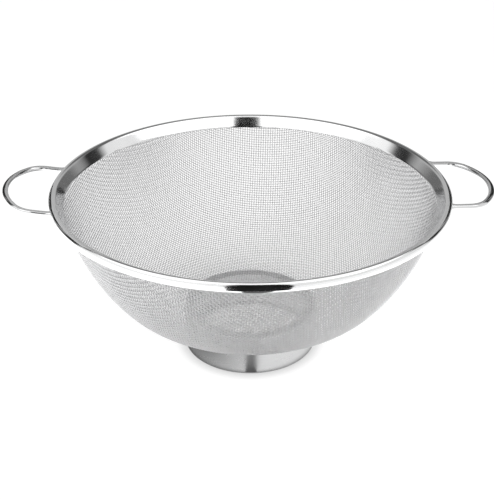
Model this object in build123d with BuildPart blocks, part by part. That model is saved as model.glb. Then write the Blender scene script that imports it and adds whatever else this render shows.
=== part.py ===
# Footed strainer bowl of woven stainless wire cloth, with a rolled rim, two wire loop
# handles and a sheet foot ring.
#
# Frame: millimetres, +Z up. The origin is the centre of the foot's resting plane, and the
# handles lie along X. Nothing moves: the foot is spot welded under the cloth, the rim is
# rolled over the cloth's edge, and the handles are butt welded to the rim.
import os
from math import asin, atan2, cos, degrees, hypot, radians, sin, sqrt

from build123d import *

os.makedirs("parts", exist_ok=True)

# ---- driving dimensions -------------------------------------------------------------
rim_diameter = 265.0      # over the rolled rim
overall_height = 121.0    # table to the top of the rim
foot_diameter = 93.0      # outside of the foot's wall
foot_height = 29.0        # table to the underside of the cloth
handle_reach = 162.6      # centre of the bowl to the outside of a handle

cloth_t = 1.0             # plain-woven cloth, twice its 0.5 mm wire

# bowl: a flat bottom, then two tangent arcs, measured on the outside of the cloth
bottom_flat_r = 46.2
knee_r, knee_sweep = 64.3, 51.9
wall_r, wall_sweep = 145.5, 25.4
flare_length = 6.6        # the cloth's edge leans out inside the rim

# rim: one strip of sheet. Its inner lip slopes up over the cloth's edge and runs straight
# onto the roll, which goes outward, down and back in under the cloth
band_t = 0.6
roll_width, roll_height = 5.2, 6.3
lip_reach = 3.8           # how far the lip stands inside the roll, radially
curl_sweep = 155.0        # of the bottom of the roll, from its outer wall to the strip's end
hoop_d = 2.6              # stiffening wire inside the roll

# handles: one bent wire each
handle_wire_d = 3.8
leg_spacing = 68.6
corner_r = 15.0
grip_r = 46.0             # the grip is bowed, not straight
tilt_right, tilt_left = 0.0, 8.0

# foot ring: one sheet strip, flanged inward at the top and hemmed inward at the bottom
foot_t = 0.8
flange_width = 7.0
hem_width = 3.0
foot_edge_r = 0.6

# ---- values worked out from them ----------------------------------------------------
rim_r = rim_diameter / 2
foot_r = foot_diameter / 2
roll_r = rim_r - roll_width / 2
roll_z = overall_height - roll_height / 2

lean = radians(knee_sweep + wall_sweep)
flare_start = (
    bottom_flat_r + knee_r * sin(radians(knee_sweep))
    + wall_r * (sin(lean) - sin(radians(knee_sweep))),
    foot_height + knee_r * (1 - cos(radians(knee_sweep)))
    + wall_r * (cos(radians(knee_sweep)) - cos(lean)),
)

# the flare leans so that the lip on top of it is tangent to the top of the roll
bend_r = roll_width / 2
lip_top = cloth_t + band_t
top_bend = (roll_r, overall_height - bend_r)
to_bend = (top_bend[0] - flare_start[0], top_bend[1] - flare_start[1])
flare = atan2(to_bend[1], to_bend[0]) + asin((bend_r - lip_top) / hypot(*to_bend))
along = (cos(flare), sin(flare))
across = (-along[1], along[0])       # square to the flare, towards the inside of the bowl


def on_flare(run, rise):
    """The (r, z) point `run` along the flared edge and `rise` above its outer face."""
    return (
        flare_start[0] + run * along[0] + rise * across[0],
        flare_start[1] + run * along[1] + rise * across[1],
    )


# ---- woven bowl, as one closed shell ------------------------------------------------
with BuildPart() as mesh_bowl:
    with BuildSketch(Plane.XZ):
        with BuildLine():
            bottom = Line((0, foot_height), (bottom_flat_r, foot_height))
            knee = JernArc(bottom @ 1, bottom % 1, knee_r, knee_sweep)
            wall = JernArc(knee @ 1, knee % 1, wall_r, wall_sweep)
            Line(wall @ 1, on_flare(flare_length, 0))
            offset(amount=cloth_t, side=Side.LEFT)
        make_face()
    revolve(axis=Axis.Z)
mesh_bowl.part.label = "mesh_bowl"
export_step(mesh_bowl.part, "parts/mesh_bowl.step")

# ---- rolled rim ---------------------------------------------------------------------
lip_end_r = rim_r - roll_width - lip_reach
lip_start = on_flare((lip_end_r - on_flare(0, lip_top)[0]) / along[0], lip_top)
lip_end = (top_bend[0] + bend_r * across[0], top_bend[1] + bend_r * across[1])

with BuildPart() as rim_band:
    with BuildSketch(Plane.XZ):
        with BuildLine():
            lip = Line(lip_start, lip_end)
            top = JernArc(lip @ 1, lip % 1, bend_r, -(90 + degrees(flare)))
            outer_wall = Line(top @ 1, (rim_r, roll_z - (roll_height / 2 - bend_r)))
            JernArc(outer_wall @ 1, outer_wall % 1, bend_r, -curl_sweep)
            offset(amount=band_t, side=Side.LEFT)
        make_face()
    revolve(axis=Axis.Z)
rim_band.part.label = "rim_band"
export_step(rim_band.part, "parts/rim_band.step")

# ---- stiffening hoop inside the roll, against its outer wall ------------------------
with BuildPart() as rim_hoop:
    with BuildSketch(Plane.XZ):
        with Locations((rim_r - band_t - hoop_d / 2, roll_z)):
            Circle(hoop_d / 2)
    revolve(axis=Axis.Z)
rim_hoop.part.label = "rim_hoop"
export_step(rim_hoop.part, "parts/rim_hoop.step")

# ---- handles ------------------------------------------------------------------------
half_leg = leg_spacing / 2
corner_y = half_leg - corner_r
root_x = sqrt(rim_r**2 - half_leg**2)       # where a leg's axis meets the rim
centres_apart = grip_r - corner_r           # the corner's arc to the grip's arc
grip_half = degrees(asin(corner_y / centres_apart))
root_overlap = 2.5                          # run into the roll, then coped to it

for name, side, tilt in (
    ("handle_right", 1, radians(tilt_right)),
    ("handle_left", -1, radians(tilt_left)),
):
    loop_plane = Plane(
        origin=(side * root_x, 0, roll_z),
        x_dir=(side * cos(tilt), 0, sin(tilt)),
        z_dir=(-side * sin(tilt), 0, cos(tilt)),
    )
    tip_x = (handle_reach - handle_wire_d / 2 - root_x) / cos(tilt)
    grip_x = tip_x - grip_r
    corner_x = grip_x + sqrt(centres_apart**2 - corner_y**2)

    with BuildPart() as handle:
        with BuildLine(loop_plane) as loop:
            leg = Line((-root_overlap, -half_leg), (corner_x, -half_leg))
            CenterArc((corner_x, -corner_y), corner_r, -90, 90 - grip_half)
            CenterArc((grip_x, 0), grip_r, -grip_half, 2 * grip_half)
            CenterArc((corner_x, corner_y), corner_r, grip_half, 90 - grip_half)
            Line((corner_x, half_leg), (-root_overlap, half_leg))
        with BuildSketch(Plane(origin=leg @ 0, z_dir=leg % 0)):
            Circle(handle_wire_d / 2)
        sweep(path=loop.wire())
        # the wire's ends are coped to the outside of the roll
        with BuildSketch(Plane.XZ):
            with Locations((roll_r, roll_z)):
                SlotOverall(roll_height, roll_width, rotation=90)
        revolve(axis=Axis.Z, mode=Mode.SUBTRACT)
    handle.part.label = name
    export_step(handle.part, f"parts/{name}.step")

# ---- foot ring ----------------------------------------------------------------------
with BuildPart() as foot_ring:
    with BuildSketch(Plane.XZ):
        with BuildLine():
            Polyline(
                (foot_r - hem_width, 0), (foot_r, 0), (foot_r, foot_height),
                (foot_r - flange_width, foot_height),
                (foot_r - flange_width, foot_height - foot_t),
                (foot_r - foot_t, foot_height - foot_t), (foot_r - foot_t, foot_t),
                (foot_r - hem_width, foot_t), close=True,
            )
        face = make_face()
        fillet(face.vertices().group_by(Axis.X)[-1], foot_edge_r)
    revolve(axis=Axis.Z)
foot_ring.part.label = "foot_ring"
export_step(foot_ring.part, "parts/foot_ring.step")
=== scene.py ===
import math

import bpy
import numpy as np
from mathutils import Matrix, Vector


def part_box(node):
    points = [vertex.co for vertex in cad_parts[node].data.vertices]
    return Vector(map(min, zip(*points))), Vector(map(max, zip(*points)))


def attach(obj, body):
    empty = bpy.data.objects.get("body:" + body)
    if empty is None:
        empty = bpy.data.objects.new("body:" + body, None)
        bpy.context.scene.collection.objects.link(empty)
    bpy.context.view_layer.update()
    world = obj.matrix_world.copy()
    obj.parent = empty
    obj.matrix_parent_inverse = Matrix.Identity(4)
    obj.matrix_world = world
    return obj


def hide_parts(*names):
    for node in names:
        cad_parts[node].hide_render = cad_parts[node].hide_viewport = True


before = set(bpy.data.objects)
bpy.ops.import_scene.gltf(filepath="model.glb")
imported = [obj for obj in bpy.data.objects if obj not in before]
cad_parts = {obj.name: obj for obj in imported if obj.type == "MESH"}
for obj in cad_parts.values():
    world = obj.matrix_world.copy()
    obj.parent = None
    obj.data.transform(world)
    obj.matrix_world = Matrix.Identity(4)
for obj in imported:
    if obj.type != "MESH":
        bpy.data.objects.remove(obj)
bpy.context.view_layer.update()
MM = 0.001

# ---- sizes read from the frame ------------------------------------------------------
_, band_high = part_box("rim_band")
cloth_low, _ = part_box("mesh_bowl")
foot_low, foot_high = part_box("foot_ring")
_, right_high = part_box("handle_right")

rim_r = band_high.y                   # over the rolled rim
rim_top = band_high.z
foot_r = foot_high.y
cloth_bottom = cloth_low.z            # underside of the cloth, on the foot's flange
handle_reach = right_high.x
leg_outside = right_high.y            # outer side of a handle's legs

# ---- sizes that the frame doesn't say, as in the CAD source -------------------------
wire_d = 0.5 * MM
mesh_pitch = 25.4 / 14 * MM           # 14 wires to the inch
weave_turn = math.radians(-7.4)       # of the cloth, from the handles' axis
cloth_t = 2 * wire_d
flat_r = 46.2 * MM
knee_r, knee_sweep = 64.3 * MM, math.radians(51.9)
wall_r, wall_sweep = 145.5 * MM, math.radians(25.4)
flare_length = 6.6 * MM

band_t = 0.6 * MM
roll_width, roll_height = 5.2 * MM, 6.3 * MM
lip_reach = 3.8 * MM
lip_lift = 0.17 * MM                  # of the lip's free edge, off the cloth
seam_turn = math.radians(296)         # where the strip's ends are butted, in the front right
seam_half, seam_depth = 0.5 * MM, 0.08 * MM
curl_sweep = math.radians(155)

handle_wire_d = 3.8 * MM
corner_r, grip_r = 15 * MM, 46 * MM
tilts = {"handle_right": (1, 0.0), "handle_left": (-1, math.radians(8))}
weld_height, weld_length = 0.55 * MM, 2.0 * MM    # of the bead round a leg's end

foot_t = 0.8 * MM
flange_width, hem_width = 7 * MM, 3 * MM

roll_r = rim_r - roll_width / 2
roll_z = rim_top - roll_height / 2
bend_r = roll_width / 2
lip_top = cloth_t + band_t

# where the cloth's edge starts to flare, and the lean that lays the lip onto the roll
lean = knee_sweep + wall_sweep
flare_start = (
    flat_r + knee_r * math.sin(knee_sweep) + wall_r * (math.sin(lean) - math.sin(knee_sweep)),
    cloth_bottom + knee_r * (1 - math.cos(knee_sweep))
    + wall_r * (math.cos(knee_sweep) - math.cos(lean)),
)
to_bend = (roll_r - flare_start[0], rim_top - bend_r - flare_start[1])
flare = math.atan2(to_bend[1], to_bend[0]) + math.asin((bend_r - lip_top) / math.hypot(*to_bend))
along = (math.cos(flare), math.sin(flare))
across = (-along[1], along[0])


def on_flare(run, rise):
    """The (r, z) point this far along the flared edge and this far above its outer face."""
    return (
        flare_start[0] + run * along[0] + rise * across[0],
        flare_start[1] + run * along[1] + rise * across[1],
    )


# ---- mesh helpers -------------------------------------------------------------------
def new_object(name, mesh, material):
    mesh.materials.append(material)
    piece = bpy.data.objects.new(name, mesh)
    bpy.context.scene.collection.objects.link(piece)
    return piece


def grid_mesh(name, points, wrap_rows, wrap_columns, uv=None):
    """A smooth quad mesh over an array of points with shape (rows, columns, 3)."""
    rows, columns = points.shape[:2]
    index = np.arange(rows * columns).reshape(rows, columns)
    if wrap_rows:
        index = np.vstack([index, index[:1]])
    if wrap_columns:
        index = np.hstack([index, index[:, :1]])
    quads = np.stack([index[:-1, :-1], index[:-1, 1:], index[1:, 1:], index[1:, :-1]], axis=-1)
    quads = quads.reshape(-1, 4)
    return quad_mesh(name, points.reshape(-1, 3), quads, uv)


def quad_mesh(name, points, quads, uv=None):
    """A smooth mesh of quads, with an optional unwrap given for each corner."""
    mesh = bpy.data.meshes.new(name)
    mesh.vertices.add(len(points))
    mesh.vertices.foreach_set("co", np.asarray(points, np.float32).ravel())
    mesh.loops.add(quads.size)
    mesh.loops.foreach_set("vertex_index", quads.astype(np.int32).ravel())
    mesh.polygons.add(len(quads))
    mesh.polygons.foreach_set("loop_start", np.arange(0, quads.size, 4, dtype=np.int32))
    mesh.polygons.foreach_set("use_smooth", np.ones(len(quads), bool))
    if uv is not None:
        layer = mesh.uv_layers.new(name="OFBake")
        layer.data.foreach_set("uv", np.asarray(uv, np.float32).ravel())
    mesh.update(calc_edges=True)
    mesh.validate()
    return mesh


# ---- the cloth's surface ------------------------------------------------------------
class ClothSurface:
    """The cloth's middle surface: a flat bottom, a knee arc, a wall arc and a flared edge."""

    def __init__(self):
        half = cloth_t / 2
        self.bottom = cloth_bottom + half
        self.knee_centre = (flat_r, cloth_bottom + knee_r)
        reach = knee_r - wall_r
        self.wall_centre = (
            self.knee_centre[0] + reach * math.sin(knee_sweep),
            self.knee_centre[1] - reach * math.cos(knee_sweep),
        )
        self.knee, self.wall = knee_r - half, wall_r - half
        self.knee_end = self.knee_centre[0] + self.knee * math.sin(knee_sweep)
        self.wall_end = self.wall_centre[0] + self.wall * math.sin(lean)
        self.wall_top = self.wall_centre[1] - self.wall * math.cos(lean)
        self.edge_r = on_flare(flare_length, half)[0]
        self.lengths = np.cumsum([flat_r, self.knee * knee_sweep, self.wall * wall_sweep])

    def height_and_slope(self, r):
        on_knee = np.minimum(r, self.knee_end) - self.knee_centre[0]
        on_wall = np.minimum(r, self.wall_end) - self.wall_centre[0]
        knee_rise = np.sqrt(self.knee**2 - on_knee**2)
        wall_rise = np.sqrt(self.wall**2 - on_wall**2)
        zones = [r < flat_r, r < self.knee_end, r < self.wall_end]
        height = np.select(
            zones,
            [self.bottom + 0 * r, self.knee_centre[1] - knee_rise, self.wall_centre[1] - wall_rise],
            self.wall_top + (r - self.wall_end) * math.tan(flare),
        )
        slope = np.select(zones, [0 * r, on_knee / knee_rise, on_wall / wall_rise], math.tan(flare))
        return height, slope

    def radius_at(self, length):
        """The radius reached after this length of cloth along a meridian."""
        flat, knee, wall = self.lengths
        if length < flat:
            return length
        if length < knee:
            return self.knee_centre[0] + self.knee * math.sin((length - flat) / self.knee)
        if length < wall:
            turn = knee_sweep + (length - knee) / self.wall
            return self.wall_centre[0] + self.wall * math.sin(turn)
        return self.wall_end + (length - wall) * math.cos(flare)

    def points(self, x, y):
        height, _ = self.height_and_slope(np.hypot(x, y))
        return np.stack([x, y, height], axis=-1)

    def normals(self, points):
        r = np.maximum(np.hypot(points[..., 0], points[..., 1]), 1e-9)
        _, slope = self.height_and_slope(r)
        outward = points[..., :2] / r[..., None]
        normal = np.concatenate([-slope[..., None] * outward, np.ones_like(r)[..., None]], axis=-1)
        return normal / np.linalg.norm(normal, axis=-1, keepdims=True)


def draped_net(surface, count):
    """Where the wires cross in one quarter of the cloth: a square net whose cells keep the
    length of their sides as it is pressed over the bowl, so that they shear instead."""
    net = np.full((count + 1, count + 1, 3), np.nan)
    for i in range(count + 1):
        r = np.array(surface.radius_at(i * mesh_pitch))
        height = surface.height_and_slope(r)[0]
        net[i, 0] = (r, 0, height)
        net[0, i] = (0, r, height)
    for diagonal in range(2, 2 * count + 1):
        i = np.arange(max(1, diagonal - count), min(count, diagonal - 1) + 1)
        j = diagonal - i
        a, b = net[i - 1, j], net[i, j - 1]
        guess = a + b - net[i - 1, j - 1]
        x, y = guess[:, 0].copy(), guess[:, 1].copy()
        for _ in range(12):
            r = np.maximum(np.hypot(x, y), 1e-9)
            z, slope = surface.height_and_slope(r)
            zx, zy = slope * x / r, slope * y / r
            miss_a = (x - a[:, 0]) ** 2 + (y - a[:, 1]) ** 2 + (z - a[:, 2]) ** 2 - mesh_pitch**2
            miss_b = (x - b[:, 0]) ** 2 + (y - b[:, 1]) ** 2 + (z - b[:, 2]) ** 2 - mesh_pitch**2
            ax = 2 * (x - a[:, 0] + (z - a[:, 2]) * zx)
            ay = 2 * (y - a[:, 1] + (z - a[:, 2]) * zy)
            bx = 2 * (x - b[:, 0] + (z - b[:, 2]) * zx)
            by = 2 * (y - b[:, 1] + (z - b[:, 2]) * zy)
            det = ax * by - ay * bx
            det = np.where(np.abs(det) < 1e-12, 1e-12, det)
            step_x = (miss_a * by - miss_b * ay) / det
            step_y = (ax * miss_b - bx * miss_a) / det
            too_long = np.maximum(1, np.hypot(step_x, step_y) / (0.5 * mesh_pitch))
            x -= step_x / too_long
            y -= step_y / too_long
        net[i, j] = surface.points(x, y)
    return net


def full_net(surface):
    """The crossings of the whole cloth, from its quarter, with the warp along the first axis."""
    spare = 1.12                      # the net reaches past the cloth's edge
    count = int(spare * surface.lengths[-1] / mesh_pitch)
    quarter = draped_net(surface, count)
    place = np.arange(-count, count + 1)
    sign = np.sign(place)
    net = quarter[np.abs(place)[:, None], np.abs(place)[None, :]].copy()
    net[..., 0] *= np.where(sign == 0, 1, sign)[:, None]
    net[..., 1] *= np.where(sign == 0, 1, sign)[None, :]
    net[place == 0, :, 0] = 0
    net[:, place == 0, 1] = 0
    return net


# ---- woven wires --------------------------------------------------------------------
ring_sides = 5
steps_per_crossing = 3
cloth_pieces = 6                     # of each family of wires
tube_fill = 1.04                     # makes up for the flats of a five-sided wire


def wire_centreline(surface, crossings, first_over):
    """One wire's centreline through its crossings, waving over and under the others."""
    radius = np.hypot(crossings[:, 0], crossings[:, 1])
    inside = np.nonzero(radius <= surface.edge_r)[0]
    if len(inside) < 3:
        return None
    first, last = inside[0], inside[-1]
    ends = []
    for inner, outer in ((first, first - 1), (last, last + 1)):
        share = (surface.edge_r - radius[inner]) / (radius[outer] - radius[inner])
        ends.append(inner + share * (outer - inner))
    steps = np.arange(first * steps_per_crossing, last * steps_per_crossing + 1)
    place = np.concatenate([[ends[0]], steps / steps_per_crossing, [ends[1]]])
    whole = np.clip(np.floor(place).astype(int), 0, len(crossings) - 2)
    part = (place - whole)[:, None]
    # a smooth line through the crossings, so that the wires have no corners there
    before = crossings[np.maximum(whole - 1, first - 1)]
    here, after = crossings[whole], crossings[whole + 1]
    beyond = crossings[np.minimum(whole + 2, last + 1)]
    line = 0.5 * (
        2 * here + (after - before) * part
        + (2 * before - 5 * here + 4 * after - beyond) * part**2
        + (3 * here - before - 3 * after + beyond) * part**3
    )
    line = surface.points(line[:, 0], line[:, 1])
    wave = first_over * np.cos(math.pi * place)
    return line + surface.normals(line) * (wire_d / 2 * wave)[:, None]


def tube_rings(line, radius, sides, normals):
    """Rings of points round a centreline, turned so that they follow the surface's normal."""
    along = np.gradient(line, axis=0)
    along /= np.linalg.norm(along, axis=1, keepdims=True)
    across = np.cross(along, normals)
    across /= np.linalg.norm(across, axis=1, keepdims=True)
    up = np.cross(across, along)
    angle = 2 * math.pi * np.arange(sides) / sides
    radius = np.broadcast_to(radius, len(line))[:, None, None]
    ring = np.cos(angle)[None, :, None] * across[:, None] + np.sin(angle)[None, :, None] * up[:, None]
    return line[:, None] + radius * ring


def wires_piece(name, surface, lines, material):
    """Several wires as one mesh. Each wire is a row of the unwrap."""
    points, quads, uv = [], [], []
    offset = 0
    for row, line in enumerate(lines):
        rings = tube_rings(line, tube_fill * wire_d / 2, ring_sides, surface.normals(line))
        count = len(rings)
        index = offset + np.arange(count * ring_sides).reshape(count, ring_sides)
        a, b = index[:-1], index[1:]
        faces = np.stack([a, np.roll(a, -1, axis=1), np.roll(b, -1, axis=1), b], axis=-1)
        quads.append(faces.reshape(-1, 4))
        u = np.linspace(0.002, 0.998, count)
        v = (row + 0.08 + 0.84 * np.arange(ring_sides + 1) / ring_sides) / len(lines)
        corners = np.empty((count - 1, ring_sides, 4, 2))
        corners[..., 0, 0] = corners[..., 1, 0] = u[:-1, None]
        corners[..., 2, 0] = corners[..., 3, 0] = u[1:, None]
        corners[..., 0, 1] = corners[..., 3, 1] = v[None, :-1]
        corners[..., 1, 1] = corners[..., 2, 1] = v[None, 1:]
        uv.append(corners.reshape(-1, 2))
        points.append(rings.reshape(-1, 3))
        offset += count * ring_sides
    mesh = quad_mesh(name, np.concatenate(points), np.concatenate(quads), np.concatenate(uv))
    return new_object(name, mesh, material)


def turned(points, angle):
    """Points turned about the vertical axis."""
    c, s = math.cos(angle), math.sin(angle)
    result = points.copy()
    result[..., 0] = c * points[..., 0] - s * points[..., 1]
    result[..., 1] = s * points[..., 0] + c * points[..., 1]
    return result


def weave_cloth(material):
    """The bowl's cloth: two families of wires, each in a few pieces."""
    surface = ClothSurface()
    net = full_net(surface)
    net = turned(net, weave_turn)
    pieces = []
    for family, lines_of, over in (("warp", net, 1), ("weft", net.swapaxes(0, 1), -1)):
        lines = []
        for number, crossings in enumerate(lines_of):
            line = wire_centreline(surface, crossings, over * (-1) ** number)
            if line is not None:
                lines.append(line)
        share = math.ceil(len(lines) / cloth_pieces)
        for part in range(cloth_pieces):
            some = lines[part * share : (part + 1) * share]
            pieces.append(wires_piece(f"{family}_wires_{part + 1}", surface, some, material))
    return pieces


# ---- turned pieces ------------------------------------------------------------------
def arc(centre, radius, start, end, count):
    """Points on an arc in the (r, z) plane, from one angle to another, in degrees."""
    angles = np.radians(np.linspace(start, end, count))
    return [
        (centre[0] + radius * math.cos(a), centre[1] + radius * math.sin(a)) for a in angles
    ]


def strip_outline(line, thickness, end_points=5):
    """The closed outline of a bent sheet strip, from its middle line, with rounded ends."""
    line = np.array(line)
    along = np.gradient(line, axis=0)
    along /= np.linalg.norm(along, axis=1, keepdims=True)
    left = np.stack([-along[:, 1], along[:, 0]], axis=1)
    half = thickness / 2
    angles = np.linspace(0, math.pi, end_points + 2)[1:-1]
    end_cap = [
        line[-1] + half * (math.cos(a) * left[-1] + math.sin(a) * along[-1]) for a in angles
    ]
    start_cap = [
        line[0] - half * (math.cos(a) * left[0] + math.sin(a) * along[0]) for a in angles
    ]
    return np.vstack([line + half * left, end_cap, (line - half * left)[::-1], start_cap])


def lathe(name, outline, steps, material, seam_at=None, seam_across=0, seam_depth=0):
    """A closed outline in the (r, z) plane, turned about the vertical axis. A seam is a shallow
    groove across it at one angle, sunk along the outline's own normals."""
    angles = 2 * math.pi * np.arange(steps) / steps
    if seam_at is not None:
        close_by = seam_at + seam_across * np.linspace(-2.5, 2.5, 21)
        apart = np.abs(angles - seam_at) > seam_across * 3
        angles = np.sort(np.concatenate([angles[apart], close_by]))
    r = np.broadcast_to(outline[:, 0], (len(angles), len(outline)))
    z = np.broadcast_to(outline[:, 1], (len(angles), len(outline)))
    if seam_at is not None:
        line = np.roll(outline, -1, axis=0) - np.roll(outline, 1, axis=0)
        line /= np.linalg.norm(line, axis=1, keepdims=True)
        sunk = seam_depth * np.exp(-(((angles - seam_at) / seam_across) ** 2))[:, None]
        r = r + sunk * line[None, :, 1]
        z = z - sunk * line[None, :, 0]
    points = np.stack(
        [np.cos(angles)[:, None] * r, np.sin(angles)[:, None] * r, z], axis=-1
    )
    return new_object(name, grid_mesh(name, points, True, True), material)


def rolled_rim(material):
    """One strip of sheet: its inner lip runs up over the cloth's edge and onto the roll, which
    goes outward, down and back in under the cloth."""
    rise = lip_top - band_t / 2              # of the strip's middle over the cloth's outer face
    end_round = 0.2 * MM                     # taken up by the lip's rounded end
    bend = bend_r - band_t / 2
    straight = roll_height / 2 - bend_r
    lip_end_r = rim_r - roll_width - lip_reach + end_round
    start = on_flare((lip_end_r - on_flare(0, rise)[0]) / along[0], rise)
    start = (start[0], start[1] + lip_lift)
    top, low = (roll_r, roll_z + straight), (roll_r, roll_z - straight)
    end = (top[0] + bend * across[0], top[1] + bend * across[1])
    line = [(start[0] + t * (end[0] - start[0]), start[1] + t * (end[1] - start[1]))
            for t in np.linspace(0, 1, 8)]
    line += arc(top, bend, 90 + math.degrees(flare), 0, 26)[1:]
    line += arc(low, bend, 0, -math.degrees(curl_sweep), 24)
    return lathe(
        "rolled_rim", strip_outline(line, band_t), 512, material,
        seam_at=seam_turn, seam_across=seam_half / rim_r, seam_depth=seam_depth,
    )


def foot_sleeve(material):
    """One strip of sheet: flanged inward under the cloth and hemmed inward at the table."""
    bend = 0.6 * MM
    beside = 2.5 * bend                      # from a corner to the point that keeps it straight
    top = foot_high.z - foot_t / 2
    low = foot_low.z + foot_t / 2
    wall = foot_r - foot_t / 2
    line = [(foot_r - flange_width, top), (wall - beside, top)]
    line += arc((wall - bend, top - bend), bend, 90, 0, 9)
    line += [(wall, top - beside), (wall, low + beside)]
    line += arc((wall - bend, low + bend), bend, 0, -90, 9)
    line += [(foot_r - hem_width, low)]
    return lathe("foot_sleeve", strip_outline(line, foot_t), 256, material)


# ---- handles ------------------------------------------------------------------------
def handle_line(side, tilt):
    """A handle's centreline: two legs, two corners and a bowed grip."""
    half_leg = leg_outside - handle_wire_d / 2
    corner_y = half_leg - corner_r
    root_x = math.sqrt(rim_r**2 - half_leg**2)
    centres_apart = grip_r - corner_r
    grip_half = math.degrees(math.asin(corner_y / centres_apart))
    tip_x = (handle_reach - handle_wire_d / 2 - root_x) / math.cos(tilt)
    grip_x = tip_x - grip_r
    corner_x = grip_x + math.sqrt(centres_apart**2 - corner_y**2)
    inset = 1.2 * MM                          # the legs end inside the rolled rim
    leg = np.linspace(-inset, corner_x, 30)[:-1]
    line = [(x, -half_leg) for x in leg]
    line += arc((corner_x, -corner_y), corner_r, -90, -grip_half, 20)[:-1]
    line += arc((grip_x, 0), grip_r, -grip_half, grip_half, 40)[:-1]
    line += arc((corner_x, corner_y), corner_r, grip_half, 90, 20)
    line += [(x, half_leg) for x in leg[::-1]]
    flat = np.array(line)
    return np.stack(
        [
            side * (root_x + flat[:, 0] * math.cos(tilt)),
            flat[:, 1],
            roll_z + flat[:, 0] * math.sin(tilt),
        ],
        axis=1,
    )


def handle_loop(name, side, tilt, material):
    """A bent wire with a small weld bead where each leg meets the rim."""
    line = handle_line(side, tilt)
    steps = np.linalg.norm(np.diff(line, axis=0), axis=1)
    travelled = np.concatenate([[0], np.cumsum(steps)])
    to_end = np.minimum(travelled, travelled[-1] - travelled)
    bead = weld_height * np.exp(-((to_end / weld_length) ** 2))
    up = np.array([-side * math.sin(tilt), 0, math.cos(tilt)])
    rings = tube_rings(line, handle_wire_d / 2 + bead, 32, np.broadcast_to(up, line.shape))
    mesh = grid_mesh(name, rings, False, True)
    return new_object(name, mesh, material)


# ---- materials ----------------------------------------------------------------------
def fill(links, socket, value):
    """Set a socket to a number or a colour, or link it to another node's output."""
    if isinstance(value, bpy.types.NodeSocket):
        links.new(value, socket)
    elif isinstance(value, tuple):
        socket.default_value = (*value, 1)
    else:
        socket.default_value = value


def math_node(nodes, links, operation, first, second=0.0):
    node = nodes.new("ShaderNodeMath")
    node.operation = operation
    fill(links, node.inputs[0], first)
    fill(links, node.inputs[1], second)
    return node.outputs["Value"]


def mixed(nodes, links, share, low, high, kind="FLOAT"):
    """low where the share is 0 and high where it is 1."""
    node = nodes.new("ShaderNodeMix")
    node.data_type = kind
    fill(links, node.inputs["Factor"], share)
    fill(links, node.inputs["A"], low)
    fill(links, node.inputs["B"], high)
    return node.outputs["Result"]


def remapped(nodes, links, value, low, high, into_low, into_high):
    """The value's range from low to high, stretched onto another range and clamped there."""
    node = nodes.new("ShaderNodeMapRange")
    node.inputs["From Min"].default_value = low
    node.inputs["From Max"].default_value = high
    node.inputs["To Min"].default_value = into_low
    node.inputs["To Max"].default_value = into_high
    links.new(value, node.inputs["Value"])
    return node.outputs["Result"]


def noise(nodes, links, vector, scale, detail=3.0):
    texture = nodes.new("ShaderNodeTexNoise")
    texture.inputs["Scale"].default_value = scale
    texture.inputs["Detail"].default_value = detail
    links.new(vector, texture.inputs["Vector"])
    return texture.outputs["Fac"]


def bump(nodes, links, height, strength, distance):
    node = nodes.new("ShaderNodeBump")
    node.inputs["Strength"].default_value = strength
    node.inputs["Distance"].default_value = distance
    links.new(height, node.inputs["Height"])
    return node.outputs["Normal"]


def position(nodes):
    return nodes.new("ShaderNodeTexCoord").outputs["Object"]


def separated(nodes, links, vector):
    """The x, y and z of a vector."""
    node = nodes.new("ShaderNodeSeparateXYZ")
    links.new(vector, node.inputs["Vector"])
    return node.outputs["X"], node.outputs["Y"], node.outputs["Z"]


def round_the_axis(nodes, links, turn_scale):
    """The position as (radius, turn, height), with the turn scaled down, so that a noise
    read with it is drawn out into lines round the vertical axis."""
    x, y, z = separated(nodes, links, position(nodes))
    squares = [math_node(nodes, links, "MULTIPLY", side, side) for side in (x, y)]
    radius = math_node(nodes, links, "SQRT", math_node(nodes, links, "ADD", *squares))
    small = [math_node(nodes, links, "MULTIPLY", side, turn_scale) for side in (x, y)]
    joined = nodes.new("ShaderNodeCombineXYZ")
    links.new(radius, joined.inputs["X"])
    links.new(math_node(nodes, links, "ADD", *small), joined.inputs["Y"])
    links.new(z, joined.inputs["Z"])
    return joined.outputs["Vector"]


def new_material(name):
    material = bpy.data.materials.new(name)
    material.use_nodes = True
    nodes, links = material.node_tree.nodes, material.node_tree.links
    return material, nodes, links, nodes["Principled BSDF"]


def steel(name, tone_noise, tones, rough_noise, roughness, bump_noise, bump_strength, bump_depth):
    """A steel whose tone, roughness and surface each follow a noise of their own. Every noise is
    a function that is given the material's nodes and links."""
    material, nodes, links, shader = new_material(name)
    shader.inputs["Metallic"].default_value = 1.0
    links.new(
        mixed(nodes, links, tone_noise(nodes, links), *tones, kind="RGBA"),
        shader.inputs["Base Color"],
    )
    links.new(
        remapped(nodes, links, rough_noise(nodes, links), 0.3, 0.7, *roughness),
        shader.inputs["Roughness"],
    )
    links.new(
        bump(nodes, links, bump_noise(nodes, links), bump_strength, bump_depth),
        shader.inputs["Normal"],
    )
    return material


def spots(scale):
    """A noise with spots of one size in every direction."""
    return lambda nodes, links: noise(nodes, links, position(nodes), scale)


def turned_lines(scale):
    """A noise drawn out into lines round the vertical axis."""
    return lambda nodes, links: noise(nodes, links, round_the_axis(nodes, links, 0.02), scale)


def cloth_steel():
    """Drawn stainless wire: grey, softly glossy, a little uneven from wire to wire."""
    tones = (0.56, 0.56, 0.565), (0.70, 0.70, 0.705)
    grain = spots(2600)
    return steel("drawn_wire", spots(220), tones, grain, (0.32, 0.50), grain, 0.25, 0.03 * MM)


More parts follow.
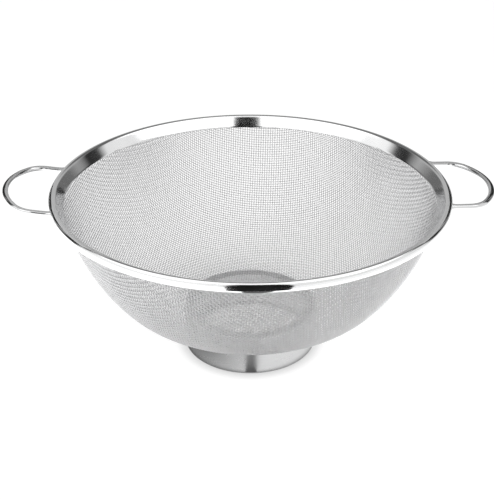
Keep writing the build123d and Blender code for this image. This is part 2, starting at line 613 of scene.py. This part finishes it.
def rim_steel():
    """Polished sheet, with faint buffing lines round the rim."""
    tones = (0.74, 0.745, 0.75), (0.82, 0.82, 0.82)
    smudges = spots(60)
    return steel(
        "polished_sheet", smudges, tones, smudges, (0.07, 0.14), turned_lines(5200), 0.10, 0.02 * MM
    )


def handle_steel():
    """Bright polished wire with faint drawing marks."""
    tones = (0.64, 0.645, 0.65), (0.72, 0.72, 0.72)
    smudges = spots(90)
    return steel(
        "bright_wire", smudges, tones, smudges, (0.08, 0.16), spots(1500), 0.08, 0.03 * MM
    )


def hoop_steel():
    """Plain wire inside the roll."""
    tones = (0.42, 0.42, 0.43), (0.55, 0.55, 0.55)
    marks = spots(900)
    return steel("hoop_wire", marks, tones, marks, (0.35, 0.5), marks, 0.2, 0.04 * MM)


def foot_steel():
    """Satin sheet with fine turned lines round the foot, duller on its flange and painted brighter
    there: painted light that lifts the flange out of the shade under the cloth.
    """
    material, nodes, links, shader = new_material("satin_sheet")
    shader.inputs["Metallic"].default_value = 1.0
    lines = turned_lines(4200)(nodes, links)
    _, _, height = separated(nodes, links, position(nodes))
    flange_z = cloth_bottom - foot_t
    on_flange = remapped(nodes, links, height, flange_z - 1.2 * MM, flange_z + 0.3 * MM, 0, 1)
    wall_tone = mixed(
        nodes, links, lines, (0.66, 0.665, 0.67), (0.76, 0.76, 0.76), kind="RGBA"
    )
    # painted light: the flange gets a paler tone than the wall to lift it out of the shade under the
    # cloth
    painted_light_flange_tone = (0.95, 0.95, 0.95)
    links.new(
        mixed(nodes, links, on_flange, wall_tone, painted_light_flange_tone, kind="RGBA"),
        shader.inputs["Base Color"],
    )
    wall_rough = remapped(nodes, links, spots(70)(nodes, links), 0.3, 0.7, 0.24, 0.32)
    flange_rough = 0.45
    links.new(
        mixed(nodes, links, on_flange, wall_rough, flange_rough), shader.inputs["Roughness"]
    )
    links.new(bump(nodes, links, lines, 0.25, 0.02 * MM), shader.inputs["Normal"])
    shader.inputs["Anisotropic"].default_value = 0.6
    tangent = nodes.new("ShaderNodeTangent")
    tangent.direction_type = "RADIAL"
    tangent.axis = "Z"
    links.new(tangent.outputs["Tangent"], shader.inputs["Tangent"])
    return material


# ---- the object ---------------------------------------------------------------------
cloth = weave_cloth(cloth_steel())
for piece in cloth:
    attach(piece, "root")
    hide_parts("mesh_bowl")

rim = rolled_rim(rim_steel())
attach(rim, "root")
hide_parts("rim_band")

bright_wire = handle_steel()
for node, (side, tilt) in tilts.items():
    loop = handle_loop(node + "_loop", side, tilt, bright_wire)
    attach(loop, "root")
    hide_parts(node)

foot = foot_sleeve(foot_steel())
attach(foot, "root")
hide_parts("foot_ring")

hoop_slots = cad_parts["rim_hoop"].material_slots
hoop_slots[0].material = hoop_steel()


# ---- floor and cards ----------------------------------------------------------------
def flat_card(name, corners, material):
    mesh = bpy.data.meshes.new(name)
    mesh.from_pydata(corners, [], [(0, 1, 2, 3)])
    card = new_object(name, mesh, material)
    return card


def floor_paint():
    """A light table with painted light and shade in its glow. As it is seen, it is white but for a
    painted contact shadow round the foot and a lighter painted shade on the floor inside the foot.
    As the steel sees it, it has painted shade by the foot and on the left, painted light inside
    the foot, and is grey far behind the bowl and far out on the right."""
    material, nodes, links, shader = new_material("pale_floor")
    where = position(nodes)
    grain = noise(nodes, links, where, 30)
    links.new(
        mixed(nodes, links, grain, (0.17, 0.17, 0.17), (0.19, 0.19, 0.19), kind="RGBA"),
        shader.inputs["Base Color"],
    )
    shader.inputs["Roughness"].default_value = 0.6
    shader.inputs["Specular IOR Level"].default_value = 0.2
    shader.inputs["Emission Color"].default_value = (1, 1, 1, 1)
    length = nodes.new("ShaderNodeVectorMath")
    length.operation = "LENGTH"
    links.new(where, length.inputs[0])
    from_middle = length.outputs["Value"]
    x, y, _ = separated(nodes, links, where)

    def ramp(value, low, high, into_low, into_high):
        return remapped(nodes, links, value, low, high, into_low, into_high)

    # painted shade: near the bowl the floor glows dimmer, and dimmest on the left
    near_glow_painted_shade = ramp(x, -0.050, 0.010, 0.14, 0.80)
    open_glow = 1.75
    glow = mixed(nodes, links, ramp(from_middle, 0.07, 0.19, 0, 1), near_glow_painted_shade, open_glow)
    far_behind = ramp(y, 0.12, 0.45, 1.0, 0.25)
    # painted light: the floor glows brighter inside the foot, for the steel that sees it there
    painted_light_inside_foot = ramp(from_middle, foot_r - 1.5 * MM, foot_r + 0.5 * MM, 3.6, 1.0)
    # painted shade: the floor glows dimmer in a ring by the foot, a contact shadow for the steel
    painted_shade_beside_foot = ramp(from_middle, foot_r + 1 * MM, foot_r + 4.5 * MM, 0.30, 1.0)
    far_out = ramp(from_middle, 0.24, 0.34, 1.0, 0.55)
    far_right = mixed(nodes, links, ramp(x, -0.02, 0.03, 0, 1), 1.0, far_out)
    for share in (far_behind, painted_light_inside_foot, painted_shade_beside_foot, far_right):
        glow = math_node(nodes, links, "MULTIPLY", glow, share)

    # painted shadow: the floor as seen is dimmed in a ring round the foot and under it
    painted_contact_shadow = ramp(from_middle, foot_r, foot_r + 7.5 * MM, 0.60, 0.89)
    # painted light: lifts the painted shadow on the floor seen inside the foot, through the cloth
    painted_light_through_cloth = ramp(from_middle, foot_r - 6.5 * MM, foot_r, 1.25, 1.0)
    as_seen = math_node(nodes, links, "MULTIPLY", painted_contact_shadow, painted_light_through_cloth)
    seen = nodes.new("ShaderNodeLightPath").outputs["Is Camera Ray"]
    links.new(mixed(nodes, links, seen, glow, as_seen), shader.inputs["Emission Strength"])
    return material


def card_paint(name, grey):
    material, _, _, shader = new_material(name)
    shader.inputs["Base Color"].default_value = (grey, grey, grey, 1)
    shader.inputs["Roughness"].default_value = 0.9
    shader.inputs["Specular IOR Level"].default_value = 0.0
    return material


reach = 6.0
flat_card(
    "floor", [(-reach, -reach, 0), (reach, -reach, 0), (reach, reach, 0), (-reach, reach, 0)],
    floor_paint(),
)


def upright_card(name, y, x_from, x_to, z_from, z_to, material):
    """A card that faces the front."""
    corners = [(x_from, y, z_from), (x_to, y, z_from), (x_to, y, z_to), (x_from, y, z_to)]
    return flat_card(name, corners, material)


# cards seen only in the steel: a black one stands in front, and a grey one lies by the foot
flag_x, flag_y, flag_half, flag_low, flag_top = 0.003, -0.235, 0.052, 0.002, 0.8
by_foot_x, by_foot_y, by_foot_half = -0.0015, -foot_r - 0.3 * MM, 0.004
lying_half, lying_z = 0.028, 0.001
cards = [
    upright_card(
        "front_flag", flag_y, flag_x - flag_half, flag_x + flag_half, flag_low, flag_top,
        card_paint("black_card", 0.01),
    ),
    flat_card(
        "floor_flag",
        [(by_foot_x - by_foot_half, by_foot_y, lying_z),
         (flag_x - lying_half, flag_y, lying_z),
         (flag_x + lying_half, flag_y, lying_z),
         (by_foot_x + by_foot_half, by_foot_y, lying_z)],
        card_paint("grey_card", 0.16),
    ),
]

# a pale grey card hangs over each handle and a dark one stands behind its grip
over_z, over_near, over_far, over_front, over_back = 0.18, 0.105, 0.20, -0.045, 0.100
grip_y, grip_near, grip_far, grip_low, grip_top = 0.100, 0.172, 0.30, 0.08, 0.25
for name, side in (("left_card", -1), ("right_card", 1)):
    cards.append(flat_card(
        name,
        [(side * over_near, over_front, over_z), (side * over_far, over_front, over_z),
         (side * over_far, over_back, over_z), (side * over_near, over_back, over_z)],
        card_paint("pale_card", 0.45),
    ))
    cards.append(upright_card(
        f"{name}_behind", grip_y, side * grip_near, side * grip_far, grip_low, grip_top,
        card_paint("dark_card", 0.02),
    ))
for card in cards:
    card.visible_camera = False
    card.visible_diffuse = False
    card.visible_shadow = False


# ---- light --------------------------------------------------------------------------
top_light = bpy.data.lights.new("overhead", "AREA")
top_light.shape = "RECTANGLE"
top_light.size, top_light.size_y = 1.1, 0.52
top_light.energy = 0.98 * math.pi * top_light.size * top_light.size_y
overhead = bpy.data.objects.new("overhead", top_light)
overhead.location = (0, -0.10, 0.55)
bpy.context.scene.collection.objects.link(overhead)


def studio_sky():
    """A white tent, set by direction: a little lighter on the left, and grey overhead. Its back
    is grey, darker high up, and nearly black at the sides except far back and off the floor.
    A narrow dark opening is in front."""
    world = bpy.data.worlds.new("studio")
    bpy.context.scene.world = world
    world.use_nodes = True
    nodes, links = world.node_tree.nodes, world.node_tree.links
    background = nodes["Background"]
    background.inputs["Color"].default_value = (1, 1, 1, 1)
    x, y, z = separated(nodes, links, nodes.new("ShaderNodeTexCoord").outputs["Generated"])
    off_centre = math_node(nodes, links, "ABSOLUTE", x)

    def ramp(value, low, high, into_low=0, into_high=1):
        return remapped(nodes, links, value, low, high, into_low, into_high)

    def blend(share, low, high):
        return mixed(nodes, links, share, low, high)

    def both(first, second):
        return math_node(nodes, links, "MULTIPLY", first, second)

    tent = ramp(x, -0.4, 0.5, 1.15, 0.97)
    far_back = ramp(y, 0.45, 0.60)
    dark_side = blend(both(far_back, ramp(z, 0.16, 0.28)), blend(far_back, 0.03, 0.17), 0.50)
    low_back = blend(ramp(off_centre, 0.34, 0.44), 0.55, dark_side)
    back_wall = blend(ramp(z, 0.46, 0.56), low_back, 0.15)
    room = blend(ramp(y, 0.20, 0.30), tent, back_wall)
    room = blend(ramp(z, 0.75, 0.92), room, 0.40)
    opening = both(ramp(off_centre, 0.06, 0.09, 1, 0), ramp(y, -0.2, 0.0, 1, 0))
    room = blend(opening, room, 0.02)
    seen = nodes.new("ShaderNodeLightPath").outputs["Is Camera Ray"]
    links.new(blend(seen, room, 1.0), background.inputs["Strength"])


studio_sky()

# ---- camera -------------------------------------------------------------------------
camera_data = bpy.data.cameras.new("camera")
camera_data.lens = 69.49
camera_data.sensor_width = 36
camera_data.sensor_fit = "AUTO"
camera_data.clip_start = 0.01
camera = bpy.data.objects.new("camera", camera_data)
bpy.context.scene.collection.objects.link(camera)
heading = math.radians(2.4)
pitch = math.radians(28.48)
camera.location = (-0.0267, -0.5844, 0.3883)
camera.rotation_euler = (math.pi / 2 - pitch, 0, -heading)
bpy.context.scene.camera = camera

bpy.context.scene.view_settings.view_transform = "Standard"
